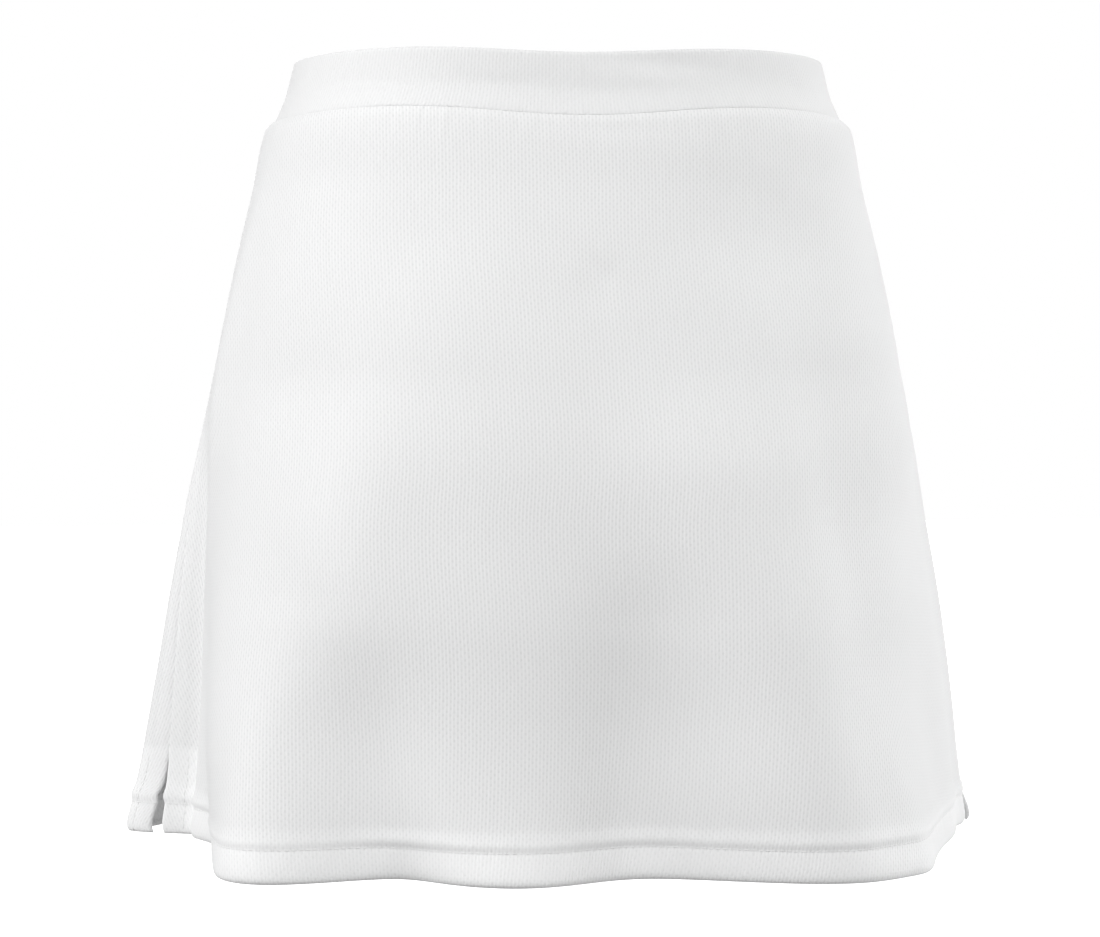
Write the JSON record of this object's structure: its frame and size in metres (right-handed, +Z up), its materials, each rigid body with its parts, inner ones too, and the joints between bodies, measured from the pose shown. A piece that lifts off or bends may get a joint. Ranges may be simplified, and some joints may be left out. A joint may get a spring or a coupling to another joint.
{
  "type": "skort",
  "caption": "Filled-out sports skort: an A-line skirt with side vents on a deep elastic waistband, with plain shorts sewn in underneath.",
  "frame": {"origin": "middle of the waistband's ring, half way down the band, where the wearer holds the garment", "axes": "+Z up along the wearer's body; the skirt's back panel faces -Y and its front +Y; the wearer's right side is +X"},
  "size_m": [0.3987, 0.319, 0.36],
  "materials": {
    "white_mesh_knit": "matt polyester mesh knit",
    "white_elastic_band": "the same knit folded over elastic",
    "white_jersey": "smooth matt jersey"
  },
  "bodies": {
    "root": {"waistband": "white_elastic_band", "skirt_back": "white_mesh_knit", "skirt_front": "white_mesh_knit", "shorts_left_front": "white_jersey", "shorts_left_back": "white_jersey", "shorts_right_front": "white_jersey", "shorts_right_back": "white_jersey"}
  },
  "joints": []
}
